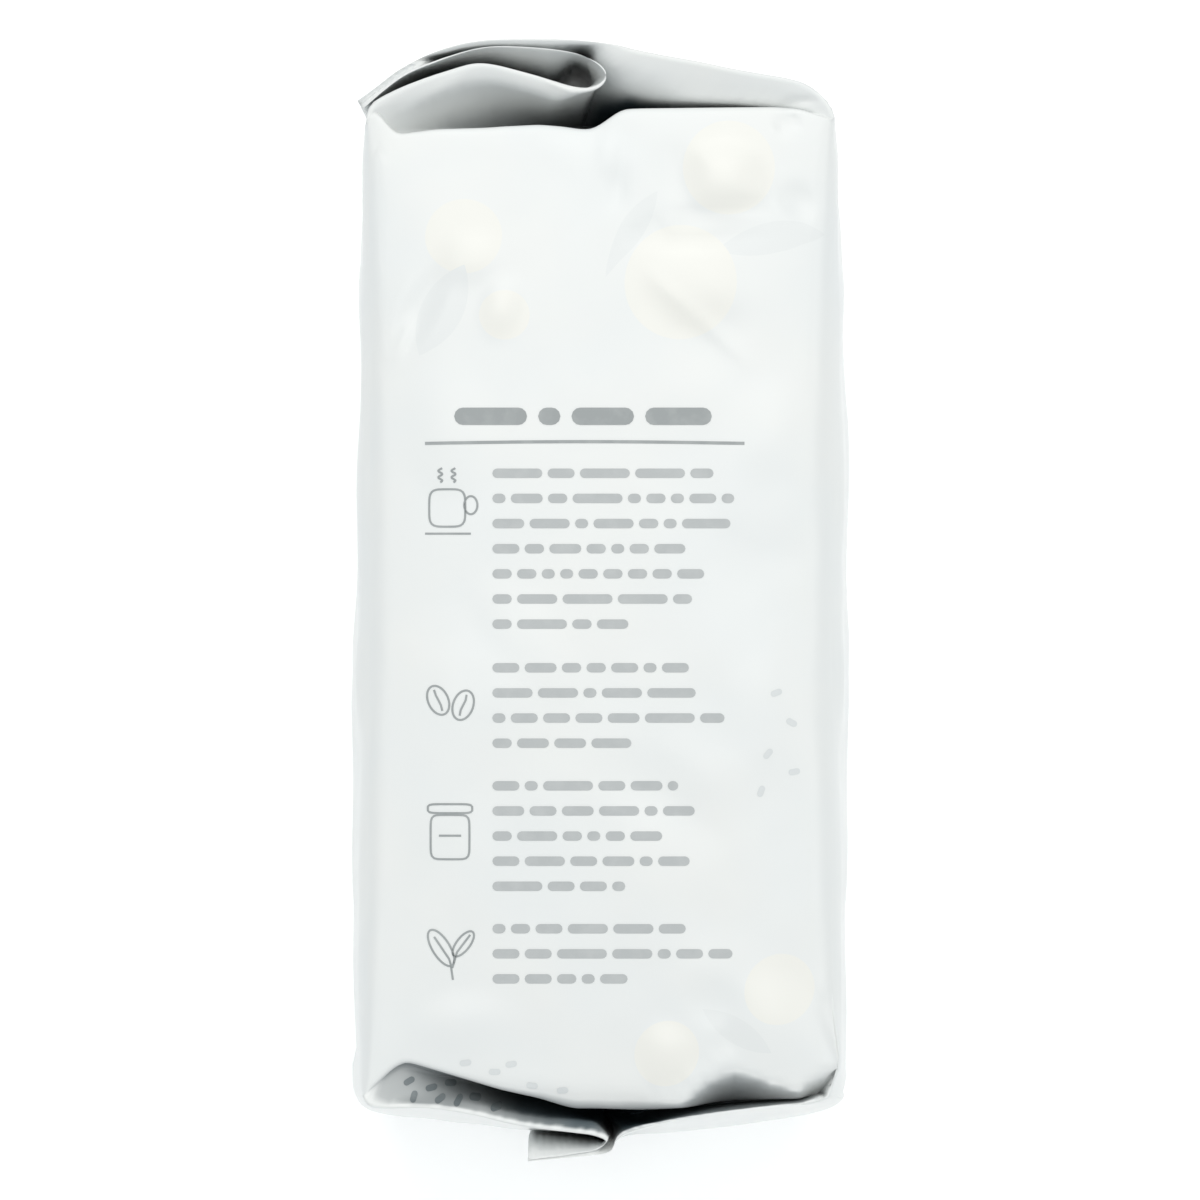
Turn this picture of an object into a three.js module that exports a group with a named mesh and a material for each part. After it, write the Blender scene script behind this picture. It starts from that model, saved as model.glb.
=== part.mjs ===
// A full, shut coffee bag of white laminated film, with a gusset in each of its two narrow sides.
// It lies on one gusset side with the other one up: X runs across that side, Y up the bag from its
// bottom seal to its top seal, and Z from the table to the side that shows.
// Above the coffee the film closes as a carton's gable does. The gusset folds inwards as a flat
// triangle, the front and the back lean over it and meet, and their joined ends are a seal flap.
// The upper flap is laid over to the left, and so is the short lower one.

import * as THREE from "three";

// Film widths and lengths, in millimetres.
const GUSSET = 68; // across each gusset side, from its left edge to its right edge
const FACE = 88; // across the front and the back, which is the height of the bag as it lies
const BODY_TOP = 69; // level of the upper corners above the middle of the bag
const BODY_BOTTOM = -71.4; // level of the lower corners
const TOP_FILM = 72; // film from an upper corner over the roof to the end of the upper seal flap
const BOTTOM_FILM = 47.5; // film from a lower corner to the end of the lower seal flap
const HALF = GUSSET / 2;
const MID = FACE / 2;

// How full the bag is.
const CROWN = 2.4; // the upper gusset side stands this far above its edges
const REST = 1.5; // the lower gusset side sinks this far below its edges before the table stops it
const SIDE_BULGE = 2.4; // the front and the back swell this far
const BOTTOM_CROWN = 5; // the bottom swells this far between its two gusset folds
const BUCKLE = 5; // the right of the upper gusset's bottom edge is pushed in this far
const BUCKLE_PLACE = 18.5; // right of the middle
const BUCKLE_REACH = 14; // to each side of that place
const EDGE_RADIUS = 5; // round long edges in the middle of the bag
const FOLD_RADIUS = 1.2; // sharper long edges where they run into the folds
const TRIANGLE_BOW = 1.4; // power by which a folded-in triangle bows on its way to its apex

// Distances from a long edge at which the film has a vertex. The triangles of the gusset folds
// have corners of 45 degrees, so the same steps are used along the bag past each corner.
const STEPS = [0, 1.5, 3.5, 6.5, 10.5, 15, 19.5, 24, 28, 31, 32.6, HALF];
const FACE_STEPS = [...STEPS, 39, MID];
const TOP_FLAP_STEPS = [35, 36, 37, 38, 39.2, 41.5, 45, 49.5, 54.5, 60, 66, TOP_FILM];
const BOTTOM_FLAP_STEPS = [35, 36, 37, 38, 39.5, 42, 44.6, BOTTOM_FILM];
const BODY_ROWS = 15; // closer together near the two ends

const smooth = (low, high, value) => THREE.MathUtils.smoothstep(value, low, high);
const mix = THREE.MathUtils.lerp;

// Outlines of the closed ends as the shown side sees them: across the bag, then along it.
// Each starts at a corner of the body and ends at the cut end of the seal flap.
const TOP_LEFT = [
  [-33.8, BODY_TOP], [-32.9, 71.8], [-28.5, 74.2], [-22.1, 76.5], [-17.0, 77.6], [-10.5, 76.2],
  [-3.6, 74.2], [-0.6, 74.4], [0.9, 75.9], [-0.4, 77.7], [-4.5, 79.2], [-11.7, 79.9],
  [-17.5, 79.7], [-24.1, 77.6], [-30.4, 75.0], [-34.2, 72.2],
];
const TOP_RIGHT = [
  [34.0, BODY_TOP + 0.6], [33.3, 71.6], [31.4, 73.7], [27.6, 75.3], [20.3, 76.5], [11.5, 77.8],
  [4.6, 79.9], [-1.5, 80.9], [-10.0, 81.1], [-17.5, 80.9], [-24.7, 78.8], [-31.1, 76.1],
  [-35.0, 73.2],
];
const TOP_CREASE = [
  [1.9, 72.6], [3.1, 75.0], [2.7, 77.6], [-0.6, 79.3], [-5.2, 80.1], [-11.7, 80.5],
  [-17.5, 80.3], [-24.4, 78.2], [-30.75, 75.55], [-34.6, 72.7],
];
const BOTTOM_LEFT = [
  [-34.2, BODY_BOTTOM], [-32.6, -73.1], [-24.7, -73.2], [-18.2, -74.2], [-11.7, -75.7],
  [-4.0, -76.9], [-0.6, -77.0], [0.9, -77.7], [-0.6, -78.9], [-4.0, -79.4], [-10.3, -79.8],
];
const BOTTOM_RIGHT = [
  [34.4, BODY_BOTTOM], [32.6, -72.5], [25.5, -72.8], [18.5, -73.6], [11.3, -74.8], [5.2, -76.2],
  [3.2, -78.0], [0.9, -80.0], [-4.0, -80.6], [-10.4, -81.0],
];
const BOTTOM_CREASE = [
  [2.0, -74.4], [2.7, -76.4], [2.1, -78.4], [-0.3, -79.5], [-4.0, -80.0], [-10.4, -80.4],
];

// A smooth hump of height 1 at a place, which ends a given distance to each side of it.
const hump = (x, place, reach) => Math.max(0, 1 - ((x - place) / reach) ** 2) ** 2;

// Level of the crisp fold at the end of the gusset side. The upper one steps up near the middle.
// The lower one hangs open on the left and runs down to the middle.
const topFold = (x) => {
  const left = mix(BODY_TOP, 68.2, smooth(-33, -29, x));
  const right = mix(71.1, BODY_TOP + 0.6, smooth(29, 33, x));
  return mix(left, right, THREE.MathUtils.clamp((x + 1.5) / 5, 0, 1));
};
const bottomFold = (x) => {
  const slope = mix(-66.4, -73.3, THREE.MathUtils.clamp((x + 28.5) / 27.5, 0, 1));
  const left = mix(BODY_BOTTOM, slope, smooth(-HALF, -28, x));
  return mix(mix(left, -72.2, smooth(4, 24, x)), BODY_BOTTOM, smooth(29, HALF, x));
};

// How far the film is pushed in near the buckled edge, where past is its distance from that edge
// and end is the distance at which the dent ends.
const buckle = (x, past, end) => BUCKLE * hump(x, BUCKLE_PLACE, BUCKLE_REACH) * (1 - smooth(0, end, past));

// A smooth outline that reaches a share of its length where the film has come half a gusset
// width past the corner, which is where the seal flap begins.
function outline(points, share, film) {
  const curve = new THREE.SplineCurve(points.map(([x, y]) => new THREE.Vector2(x, y)));
  curve.arcLengthDivisions = 800;
  return (t) => {
    const past = (t - HALF) / (film - HALF);
    return curve.getPointAt(t <= HALF ? (share * t) / HALF : mix(share, 1, Math.min(past, 1)));
  };
}

const TOP = {
  left: outline(TOP_LEFT, 0.475, TOP_FILM),
  right: outline(TOP_RIGHT, 0.43, TOP_FILM),
  crease: outline(TOP_CREASE, 0, TOP_FILM),
  fold: topFold,
  dent: () => 0,
  steps: [...STEPS, ...TOP_FLAP_STEPS],
};
const BOTTOM = {
  left: outline(BOTTOM_LEFT, 0.7, BOTTOM_FILM),
  right: outline(BOTTOM_RIGHT, 0.645, BOTTOM_FILM),
  crease: outline(BOTTOM_CREASE, 0, BOTTOM_FILM),
  fold: bottomFold,
  dent: (x, depth) => buckle(x, depth, BUCKLE_REACH),
  steps: [...STEPS, ...BOTTOM_FLAP_STEPS],
};

// A point of a gusset past the corner row of a closed end. across is the distance from the
// gusset's left edge and t the film's distance past the corners. Up to the two diagonal creases
// the film is the folded-in triangle, and between a crease and an edge it hangs from that edge.
function gussetEnd(end, across, t, dented) {
  const onLeft = across <= HALF;
  const fromEdge = Math.min(across, GUSSET - across);
  const edge = (onLeft ? end.left : end.right)(t);
  const apex = end.crease(HALF);
  const reach = Math.min(t, HALF) / HALF;
  const middle = (end.left(0).x + end.right(0).x) / 2;
  const triangle = (s) => {
    const x = mix(end.left(0).x, end.right(0).x, s / GUSSET);
    const y = mix(end.fold(x), apex.y, reach ** TRIANGLE_BOW);
    const depth = reach * HALF + (dented ? end.dent(x, reach * HALF) : 0);
    return new THREE.Vector3(x + reach * (apex.x - middle), y, MID - depth);
  };
  if (t < HALF && fromEdge >= t) return triangle(across);
  const { x, y } = end.crease(t);
  const crease = t < HALF ? triangle(onLeft ? t : GUSSET - t) : new THREE.Vector3(x, y, MID - HALF);
  const share = fromEdge / Math.min(t, HALF);
  const apart = share ** mix(1, 0.5, smooth(HALF, HALF + 6, t)); // layers part sooner in the flap
  const film = new THREE.Vector2(edge.x, edge.y).lerp(crease, apart);
  return new THREE.Vector3(film.x, film.y, mix(MID, crease.z, share));
}

// Every film column round the bag: the shown gusset, the right face, the hidden gusset and the
// left face.
const mirrored = (steps, whole) => [...steps, ...steps.slice(0, -1).reverse().map((s) => whole - s)];
const GUSSET_COLUMNS = mirrored(STEPS, GUSSET).slice(0, -1);
const FACE_COLUMNS = mirrored(FACE_STEPS, FACE).slice(0, -1);
const COLUMNS = [
  ...GUSSET_COLUMNS.map((across) => ({ side: "shown", across })),
  ...FACE_COLUMNS.map((down) => ({ side: "right", down })),
  ...GUSSET_COLUMNS.map((back) => ({ side: "hidden", across: GUSSET - back })),
  ...FACE_COLUMNS.map((up) => ({ side: "left", down: FACE - up })),
];

// Whether the strip of film after a column runs away from the nearest long edge of the bag.
function inward(c) {
  const { across, down } = COLUMNS[c];
  const place = across ?? down;
  const whole = across === undefined ? FACE : GUSSET;
  const rising = COLUMNS[c].side === "shown" || COLUMNS[c].side === "right";
  return rising ? place < whole / 2 : place > whole / 2;
}

// One row of film past the corners of a closed end.
function endRow(end, t) {
  return COLUMNS.map(({ side, across, down }) => {
    if (side === "left" || side === "right") {
      const p = end[side](t);
      return new THREE.Vector3(p.x, p.y, MID - down);
    }
    const p = gussetEnd(end, across, t, side === "shown");
    return side === "shown" ? p : new THREE.Vector3(p.x, p.y, -p.z);
  });
}

// One row round the full body, a share of the way from its lower corners to its upper ones.
function bodyRow(share, lower, upper) {
  const full = Math.sin(Math.PI * share) ** 0.5;
  const radius = mix(FOLD_RADIUS, EDGE_RADIUS, full);
  const swell = SIDE_BULGE * Math.min(1, (share / 0.08) ** 0.6) * (1 - 0.7 * smooth(0.3, 1, share));
  return COLUMNS.map((column, i) => {
    const straight = lower[i].clone().lerp(upper[i], share);
    const level = { shown: MID, hidden: -MID }[column.side] ?? MID - column.down;
    const halfWidth = mix(34.2, 33.9, share) + 0.6 * full;
    const flat = new THREE.Vector2((straight.x / HALF) * halfWidth, level);
    flat.x = THREE.MathUtils.clamp(flat.x, -halfWidth, halfWidth);
    const core = new THREE.Vector2(
      THREE.MathUtils.clamp(flat.x, radius - halfWidth, halfWidth - radius),
      THREE.MathUtils.clamp(flat.y, radius - MID, MID - radius),
    );
    const out = flat.clone().sub(core);
    if (out.length() > 0) flat.copy(core).addScaledVector(out.normalize(), radius);
    const x = flat.x + swell * (flat.x / halfWidth) ** 3 * (1 - (flat.y / MID) ** 2);
    const rise = 1 - (flat.x / halfWidth) ** 2;
    const z = flat.y > 0 ? flat.y + CROWN * full * rise * (flat.y / MID) ** 4 : flat.y;
    const dent = column.side === "shown" ? buckle(x, share * (BODY_TOP - BODY_BOTTOM), 7) : 0;
    return new THREE.Vector3(x, straight.y, z - dent);
  });
}

// The settled coffee swells the bottom, which the seal flap holds back in the middle, and the
// hidden side lies flat on the table.
function settle(p) {
  const slack = (1 - (p.z / MID) ** 2) * Math.max(0, 1 - (p.x / 40) ** 4);
  const held = 1 - 0.68 * hump(p.x, -4, 18);
  const y = p.y - BOTTOM_CROWN * slack * held * (1 - smooth(BODY_BOTTOM, -50, p.y));
  const along = 1 - smooth(0.7, 1, Math.abs(p.y) / BODY_TOP);
  const under = Math.max(0, 1 - (p.x / (HALF - 4)) ** 4) * along;
  const z = p.z - REST * Math.min(1, 2.5 * under) * smooth(MID / 2, MID, -p.z);
  return new THREE.Vector3(p.x, y, z);
}

// Closes the film tube at a flap's cut end: each gusset layer is joined to the face it lies on,
// and the front to the back between the two gusset creases. Returns index triples within a row.
function capFaces() {
  const folds = STEPS.length - 1;
  const faces = FACE_COLUMNS.length;
  const corner = { shown: 0, right: 2 * folds, hidden: 2 * folds + faces, left: 4 * folds + faces };
  const total = COLUMNS.length;
  const wrap = (i) => (i + total) % total;
  const quads = [];
  for (let j = 0; j < folds; j += 1) {
    quads.push([corner.shown + j, corner.shown + j + 1, wrap(corner.shown - j - 1), wrap(corner.shown - j)]);
    quads.push([corner.right - j - 1, corner.right - j, corner.right + j, corner.right + j + 1]);
    quads.push([corner.hidden + j, corner.hidden + j + 1, corner.hidden - j - 1, corner.hidden - j]);
    quads.push([corner.left - j - 1, corner.left - j, corner.left + j, corner.left + j + 1]);
  }
  const seam = (j) => [corner.right + j, wrap(total - j)];
  for (let j = folds; j < faces - folds; j += 1) {
    const [a, d] = seam(j);
    const [b, c] = seam(j + 1);
    quads.push([a, b, c, d]);
  }
  quads.push([corner.shown + folds, corner.right + folds, wrap(-folds), corner.shown + folds]);
  quads.push([corner.hidden + folds, corner.left + folds, corner.hidden - folds, corner.hidden + folds]);
  const triples = quads.flatMap(([a, b, c, d]) => [[a, b, c], [a, c, d]]);
  return triples.filter((triple) => new Set(triple).size === 3);
}

// The whole film envelope as one closed surface round the coffee.
function bagGeometry() {
  const bottomRows = BOTTOM.steps.map((t) => endRow(BOTTOM, t)).reverse();
  const topRows = TOP.steps.map((t) => endRow(TOP, t));
  const lower = bottomRows.at(-1);
  const upper = topRows[0];
  const bodyRows = [];
  for (let k = 1; k < BODY_ROWS; k += 1) {
    const share = (1 - Math.cos((Math.PI * k) / BODY_ROWS)) / 2;
    bodyRows.push(bodyRow(share, lower, upper));
  }
  const rows = [...bottomRows, ...bodyRows, ...topRows].map((row) => row.map(settle));

  const count = COLUMNS.length;
  const index = [];
  for (let r = 0; r < rows.length - 1; r += 1) {
    for (let c = 0; c < count; c += 1) {
      const a = r * count + c;
      const b = r * count + ((c + 1) % count);
      if (inward(c) === (r >= BOTTOM.steps.length)) index.push(a, b, b + count, a, b + count, a + count);
      else index.push(a, b, a + count, b, b + count, a + count);
    }
  }
  const last = (rows.length - 1) * count;
  for (const [a, b, c] of capFaces()) {
    index.push(a, c, b, last + a, last + b, last + c);
  }
  const positions = rows.flat().flatMap((p) => [p.x, p.y, p.z]);
  const geometry = new THREE.BufferGeometry();
  geometry.setAttribute("position", new THREE.Float32BufferAttribute(positions, 3));
  geometry.setIndex(index);
  geometry.computeBoundingBox();
  const { min, max } = geometry.boundingBox;
  geometry.translate(-(min.x + max.x) / 2, -(min.y + max.y) / 2, -min.z);
  geometry.computeVertexNormals();
  return geometry;
}

const whiteFilm = new THREE.MeshStandardMaterial({ color: 0xeef1f0, roughness: 0.35, metalness: 0 });

const bag = new THREE.Mesh(bagGeometry(), whiteFilm);
bag.name = "bag";

const group = new THREE.Group();
group.add(bag);

export default group;
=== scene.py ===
import math
import random

import bmesh
import bpy
import numpy as np
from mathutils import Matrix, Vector


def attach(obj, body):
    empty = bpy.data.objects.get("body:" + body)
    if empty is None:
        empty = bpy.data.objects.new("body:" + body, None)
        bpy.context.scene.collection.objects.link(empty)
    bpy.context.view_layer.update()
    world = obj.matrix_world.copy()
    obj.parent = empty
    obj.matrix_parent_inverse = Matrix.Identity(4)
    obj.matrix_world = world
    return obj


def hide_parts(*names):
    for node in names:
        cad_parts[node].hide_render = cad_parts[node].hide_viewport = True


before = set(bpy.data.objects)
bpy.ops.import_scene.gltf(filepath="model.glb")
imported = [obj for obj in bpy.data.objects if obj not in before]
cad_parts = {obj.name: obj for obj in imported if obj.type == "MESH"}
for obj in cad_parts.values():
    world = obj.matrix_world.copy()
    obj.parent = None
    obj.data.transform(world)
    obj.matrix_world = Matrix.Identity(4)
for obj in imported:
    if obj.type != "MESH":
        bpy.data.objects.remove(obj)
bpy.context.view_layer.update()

# Coffee bag. One tube of white laminated film, gusseted in both narrow sides and filled. Each end
# closes like a carton's gable, and the joined film there is a heat-sealed flap that lies folded
# over to the left. The sizes are millimetres on the flat film, as in the CAD part.
MM = 0.001
GUSSET = 68.0
FACE = 88.0
HALF = GUSSET / 2
MID = FACE / 2
BODY_TOP = 69.0
BODY_BOTTOM = -71.4
BODY = BODY_TOP - BODY_BOTTOM
TOP_FILM = 72.0  # film past the upper corners, to the cut end
BOTTOM_FILM = 47.5
MIDDLE_UP = 1.137  # the part is centred on its own box, which is this much off the bag's middle

FOLD_STEPS = np.array([0, 0.25, 0.5, 0.75, 1.05])  # close together where the film turns round a fold
FIRST_PLAIN = 1.5
GUSSET_STEP = 0.74
FACE_STEP = 1.5
BODY_STEP = 1.25


def spread(start, end, step):
    return np.linspace(start, end, round((end - start) / step) + 1)


def from_fold(end, step):
    return np.concatenate([FOLD_STEPS, spread(FIRST_PLAIN, end, step)])


def both_ways(steps, whole):
    return np.concatenate([steps, whole - steps[-2::-1]])


def smooth(low, high, value):
    t = np.clip((value - low) / (high - low), 0, 1)
    return t * t * (3 - 2 * t)


def mix(a, b, share):
    return a + (b - a) * share


def hump(x, place, reach):
    return np.maximum(0, 1 - ((x - place) / reach) ** 2) ** 2


# Outlines of the closed ends from the shown side, each from a corner of the body to the cut end.
TOP_LEFT = [
    (-33.8, BODY_TOP), (-32.9, 71.8), (-28.5, 74.2), (-22.1, 76.5), (-17.0, 77.6), (-10.5, 76.2),
    (-3.6, 74.2), (-0.6, 74.4), (0.9, 75.9), (-0.4, 77.7), (-4.5, 79.2), (-11.7, 79.9),
    (-17.5, 79.7), (-24.1, 77.6), (-28.9, 75.4), (-34.3, 71.0),
]
TOP_RIGHT = [
    (34.0, BODY_TOP + 0.6), (33.4, 71.3), (32.2, 72.8), (30.4, 74.2), (27.6, 75.3), (20.3, 76.6),
    (14.0, 77.9), (9.5, 78.7), (5.5, 79.5), (1.6, 80.4), (-3.9, 81.0), (-10.0, 81.1), (-15.7, 81.0),
    (-20.0, 80.4), (-24.7, 78.9), (-29.1, 76.6), (-32.0, 74.4), (-35.0, 72.2),
]
TOP_CREASE = [
    (-0.8, 70.2), (1.0, 72.6), (1.6, 75.4), (1.3, 77.6), (-0.8, 79.2), (-5.2, 80.2), (-11.7, 80.6),
    (-17.5, 80.4), (-24.4, 78.3), (-29.0, 76.1), (-34.6, 71.6),
]
BOTTOM_LEFT = [
    (-34.2, BODY_BOTTOM), (-32.6, -73.1), (-24.7, -73.2), (-18.2, -74.2), (-11.7, -75.7),
    (-4.0, -76.7), (-1.0, -77.1), (0.9, -78.0), (-0.9, -79.2), (-4.0, -79.7), (-10.3, -80.5),
]
BOTTOM_RIGHT = [
    (34.4, BODY_BOTTOM), (32.6, -72.5), (25.5, -72.8), (18.5, -73.6), (11.3, -74.8), (5.6, -76.2),
    (2.7, -77.5), (1.5, -79.4), (-1.0, -80.0), (-4.0, -80.3), (-10.4, -80.9),
]
BOTTOM_CREASE = [
    (0.4, -73.5), (1.3, -75.2), (1.8, -77.0), (1.2, -78.8), (-1.0, -79.6), (-4.0, -80.0),
    (-10.4, -80.7),
]
CURVE_SAMPLES = 1600


def outline(points, share, film):
    """A smooth curve through the points, by the film's distance past the corner."""
    p = np.array(points)
    place = np.linspace(0, len(p) - 1, CURVE_SAMPLES)
    i = np.minimum(place.astype(int), len(p) - 2)
    w = (place - i)[:, None]
    before, after = p[np.maximum(i - 1, 0)], p[np.minimum(i + 2, len(p) - 1)]
    a, b = p[i], p[i + 1]
    slope_a, slope_b = (b - before) / 2, (after - a) / 2
    curve = ((2 * a - 2 * b + slope_a + slope_b) * w ** 3
             + (3 * b - 3 * a - 2 * slope_a - slope_b) * w ** 2 + slope_a * w + a)
    length = np.concatenate([[0], np.cumsum(np.linalg.norm(np.diff(curve, axis=0), axis=1))])
    length /= length[-1]

    def at(t):
        past = min(1, (t - HALF) / (film - HALF))
        s = share * t / HALF if t <= HALF else mix(share, 1, past)
        return np.array([np.interp(s, length, curve[:, 0]), np.interp(s, length, curve[:, 1])])
    return at


# The fold between the shown side and each folded-in end, from left to right.
TOP_FOLD = [
    (-33.8, BODY_TOP), (-32.4, 70.9), (-31.4, 71.2), (-30.9, 69.3), (-30.5, 67.2), (-23.5, 68.1),
    (-16.6, 68.3), (-13.9, 68.5), (-8.8, 68.75), (-5.5, 68.5), (-2.9, 68.1), (-1.5, 68.05),
    (-0.3, 68.5), (2.6, 70.6), (3.6, 71.0), (5.8, 71.1), (14.4, 71.2), (25.4, 71.3),
    (29.0, 71.0), (33.0, BODY_TOP + 0.6),
]
BOTTOM_FOLD = [
    (-34.0, BODY_BOTTOM), (-29.8, -67.3), (-28.2, -66.5), (-26.8, -66.8), (-20.9, -68.6),
    (-14.4, -70.6), (-8.7, -71.9), (-5.0, -73.1), (-3.6, -73.4), (0.0, -73.4), (5.8, -73.6),
    (13.0, -73.2), (20.2, -72.7), (26.0, -72.2), (30.0, -71.9), (34.0, BODY_BOTTOM),
]
TOP_APEX = 70.2  # level of the folded-in triangle at its apex
BOTTOM_APEX = (-71.8, -74.8)  # the same below, on the left, and on the right where it leans under


def top_fold(x):
    return np.interp(x, *np.transpose(TOP_FOLD))


def top_deep(x):
    return TOP_APEX


def bottom_fold(x):
    return np.interp(x, *np.transpose(BOTTOM_FOLD))


def bottom_deep(x):
    return mix(*BOTTOM_APEX, smooth(-4, 5, x))


# The shown side rolls over the lower fold, and on the right it is pushed in along a bent line.
ROLL = [(-34, 0.6), (-22, 0.8), (-12, 2.2), (-5, 4.2), (6, 4.6), (11, 2.5), (14, 1.0), (34, 0.8)]
PUSHED_IN = [(10.5, 0), (13.0, 1.4), (15.2, 3.2), (17.4, 4.3), (19.5, 4.7), (22.0, 4.0),
             (24.5, 2.7), (27.4, 1.6), (28.9, 1.1), (30.3, 2.3), (31.4, 3.0), (33.0, 3.5),
             (34.5, 4.4)]
PUSH_SLOPE = [(11, 1.6), (16, 2.5), (26, 2.5), (31, 1.8)]
ROLL_TURN = 0.95  # how near the roll comes to a full quarter turn
ROLL_DEPTH = 0.85
PUSH_EASE = 0.03  # rounds the start of the slope

# How far each side of the bag swells out at half its depth, by the level along the bag.
LEFT_SWELL = [
    (BODY_BOTTOM, 2.2), (-70.6, 2.5), (-69, 2.5), (-67.7, 2.5), (-66.2, 2.0), (-64.8, 1.65),
    (-60.5, 1.7), (-52, 2.1), (-34, 2.4), (-17, 1.8), (0, 1.6), (26, 1.0), (35, 0.4), (43, 0.1),
    (60, 0.4), (BODY_TOP, 0.4),
]
RIGHT_SWELL = [
    (BODY_BOTTOM, 1.9), (-70.6, 1.9), (-69, 2.4), (-67.7, 2.1), (-60.5, 1.95), (-52, 1.8),
    (-34, 2.4), (-17, 1.9), (0, 2.2), (26, 2.3), (43, 1.2), (60, 0.8), (BODY_TOP, 0.7),
]
# The lower right corner stands out, and below that it is crushed to the left along a straight line.
CORNER_LEVEL = -67.2
CORNER_OUT = 0.8
CRUSHED_CORNER = 2.6
# How much of the swelling of the bottom the folded-over flap leaves, across the bag.
HELD = [(-34, 1), (-26, 0.92), (-21.6, 0.87), (-17.3, 0.71), (-13, 0.59), (-8, 0.4), (-4, 0.3),
        (3, 0.42), (9, 0.78), (13, 0.88), (20, 1), (27, 1.08), (34, 1.15)]


def drop(x, past):
    """How far the shown side lies below its flat level, by the film's distance from the fold."""
    radius = np.interp(x, *np.transpose(ROLL))
    turn = np.clip(1 - past / radius, 0, 1) * ROLL_TURN
    rolled = radius * (1 - np.sqrt(1 - turn ** 2)) * ROLL_DEPTH
    run = np.interp(x, *np.transpose(PUSHED_IN)) - past
    slope = np.interp(x, *np.transpose(PUSH_SLOPE))
    pushed = slope * (run + np.sqrt(run ** 2 + PUSH_EASE)) / 2 * smooth(10, 12, x)
    return np.maximum(rolled, pushed * smooth(-1.5, 0.5, run))


# The film that hangs from a long edge first lies shallow, up to a shoulder, and then goes down
# steeply. The shoulder is given by its step across and along the bag, its depth and its radius.
# The upper right one follows a line, given by the film's distance, its place across and its level.
TOP_LIP = [(0, 34.0, 69.6), (3, 31.5, 70.4), (5, 28.9, 71.3), (9, 25.0, 71.9), (14, 20.0, 72.4),
           (19, 14.6, 72.7), (23, 10.8, 73.0), (26, 8.2, 73.5), (29, 5.6, 74.4), (31, 4.0, 75.4),
           (33, 2.6, 76.7), (35, 1.2, 77.9), (37, -0.4, 78.9), (40, -2.6, 79.7)]


def top_left_shoulder(t, edge):
    size = smooth(1, 9, t) * (1 - smooth(28, 33, t))
    step, depth, radius = (0.1, -1.9 * size), 1.0 * size, 2.4
    return step, depth, radius


def top_right_shoulder(t, edge):
    lip = np.array([np.interp(t, *np.transpose(TOP_LIP)[[0, k]]) for k in (1, 2)])
    fade = 1 - smooth(36, 40, t)
    step = mix(np.array([0, -0.5]), lip - edge, fade)
    depth = min(mix(1.1, 0.55, fade) * abs(step[1]), 0.5 * t)
    radius = mix(1.0, 4.6, smooth(19, 28, t)) * fade + 0.3
    return step, depth, radius


def bottom_left_shoulder(t, edge):
    size = smooth(0, 8, t) * (1 - smooth(34, 37, t))
    nose = smooth(26, 33, t)
    step, depth, radius = (0.1, mix(0.8, 1.4, nose) * size), mix(1.5, 2.0, nose) * size, 1.5
    return step, depth, radius


def bottom_right_shoulder(t, edge):
    step, depth, radius = (0, 0.05), min(t, 1.0) * 0.3, 0.3
    return step, depth, radius


# Below its rim the upper flap rests on the side that it is folded on to, and its turn leans to
# the left. Its cut end stands free. The tail of the lower flap is pressed against the bottom.
FLAP_GAP = 0.4  # between a flap and the film that it rests on
LEAN = 2.0
LEAN_DEPTH = 6  # below the rim, by which most of the lean is reached
TOP_REST_DEPTH = 8  # the same for the rest of the upper flap, and then of the lower one
BOTTOM_REST_DEPTH = 4


def layers(points, x):
    """The levels of a flap's two layers, before and after its turn, at places across."""
    turn = int(np.argmax(np.array(points)[:, 0]))
    return (np.interp(x, *np.transpose(points[:turn])),
            np.interp(x, *np.transpose(points[turn:][::-1])))


def top_sink(t, x, depth):
    lean = smooth(22, 33, t) * (1 - smooth(38, 46, t)) * (1 - np.exp(-depth / LEAN_DEPTH))
    first, second = layers(TOP_LEFT, x)
    rests = (1 - smooth(-8, -1, x)) * smooth(-28, -16, x) * (t > HALF)
    sunk = (second - first - FLAP_GAP) * rests * (1 - np.exp(-depth / TOP_REST_DEPTH))
    return np.column_stack([-LEAN * lean, -sunk])


def bottom_sink(t, x, depth):
    left_edge = BOTTOM["left"](t)
    free = layers(BOTTOM_LEFT, left_edge[0])[0] - left_edge[1] - FLAP_GAP
    sunk = free * smooth(35.5, 38.5, t) * (1 - np.exp(-depth / BOTTOM_REST_DEPTH))
    return np.column_stack([0 * x, sunk])


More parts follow.
